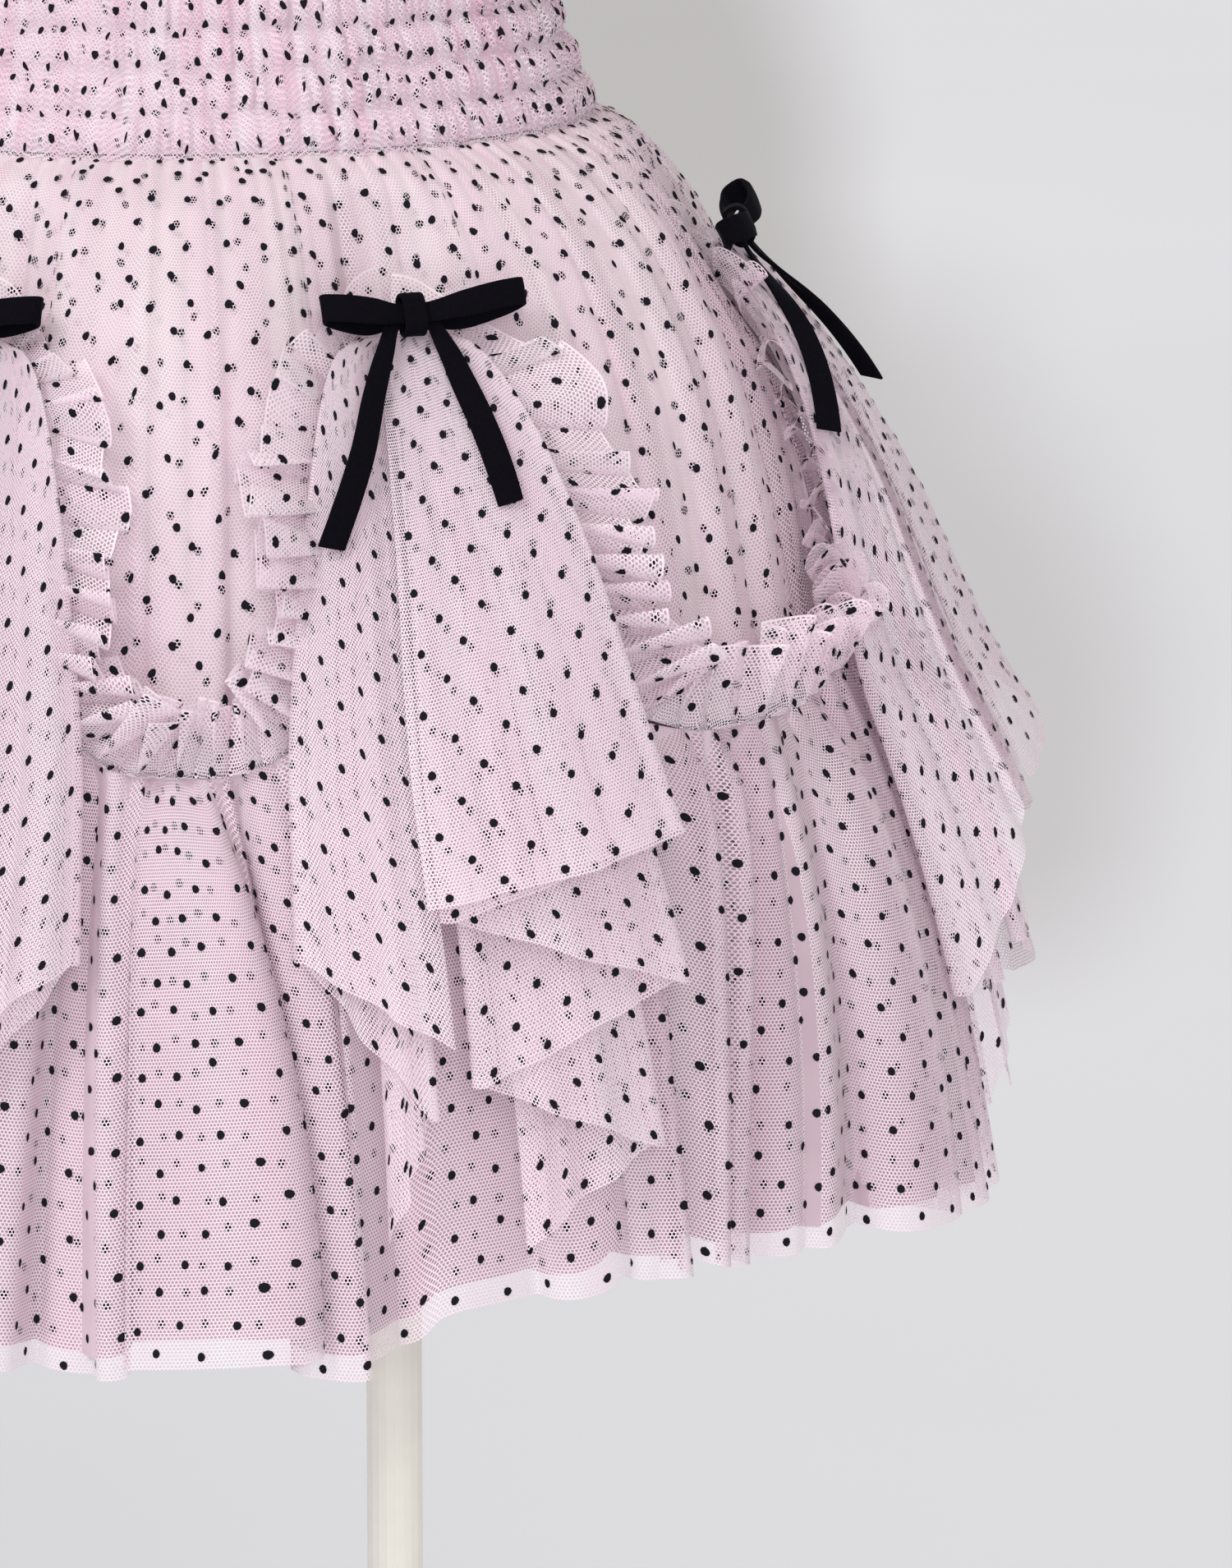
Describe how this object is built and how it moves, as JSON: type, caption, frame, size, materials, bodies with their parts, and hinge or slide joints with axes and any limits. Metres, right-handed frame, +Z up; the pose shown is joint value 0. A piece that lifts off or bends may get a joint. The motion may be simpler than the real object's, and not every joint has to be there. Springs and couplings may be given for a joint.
{
  "type": "tulle mini skirt on a display form",
  "caption": "Tiered tulle mini skirt with a shirred waistband, scalloped ruffled seam, folded cascades and velvet bows, on a limbless form with an off-centre pole and a round base.",
  "frame": {"origin": "middle of the round base's underside, straight below the middle of the skirt", "axes": "+Z up, -Y out of the skirt's front, +X to the wearer's left, the side where the pole stands"},
  "size_m": [0.5642, 0.4893, 1.081],
  "materials": {
    "dotted_tulle": "fine pink net with small flocked dots",
    "satin_lining": "pale pink satin",
    "black_velvet": "black velvet ribbon",
    "cream_form": "cream matt shell",
    "cream_metal": "cream satin paint"
  },
  "bodies": {
    "root": {"base_collar": "cream_metal", "base_plate": "cream_metal", "bow_back_left_knot": "black_velvet", "bow_back_left_loops": "black_velvet", "bow_back_left_tails": "black_velvet", "bow_back_right_knot": "black_velvet", "bow_back_right_loops": "black_velvet", "bow_back_right_tails": "black_velvet", "bow_front_left_knot": "black_velvet", "bow_front_left_loops": "black_velvet", "bow_front_left_tails": "black_velvet", "bow_front_right_knot": "black_velvet", "bow_front_right_loops": "black_velvet", "bow_front_right_tails": "black_velvet", "bow_side_left_knot": "black_velvet", "bow_side_left_loops": "black_velvet", "bow_side_left_tails": "black_velvet", "bow_side_right_knot": "black_velvet", "bow_side_right_loops": "black_velvet", "bow_side_right_tails": "black_velvet", "cascade_inner_back_left": "dotted_tulle", "cascade_inner_back_right": "dotted_tulle", "cascade_inner_front_left": "dotted_tulle", "cascade_inner_front_right": "dotted_tulle", "cascade_inner_side_left": "dotted_tulle", "cascade_inner_side_right": "dotted_tulle", "cascade_outer_back_left": "dotted_tulle", "cascade_outer_back_right": "dotted_tulle", "cascade_outer_front_left": "dotted_tulle", "cascade_outer_front_right": "dotted_tulle", "cascade_outer_side_left": "dotted_tulle", "cascade_outer_side_right": "dotted_tulle", "display_form": "cream_form", "flounce": "dotted_tulle", "heading_back_left_to_back_right": "dotted_tulle", "heading_back_right_to_side_right": "dotted_tulle", "heading_front_left_to_side_left": "dotted_tulle", "heading_front_right_to_front_left": "dotted_tulle", "heading_side_left_to_back_left": "dotted_tulle", "heading_side_right_to_front_right": "dotted_tulle", "lining": "satin_lining", "pole": "cream_metal", "pole_socket": "cream_metal", "upper_tier": "dotted_tulle", "waistband": "dotted_tulle"}
  },
  "joints": []
}
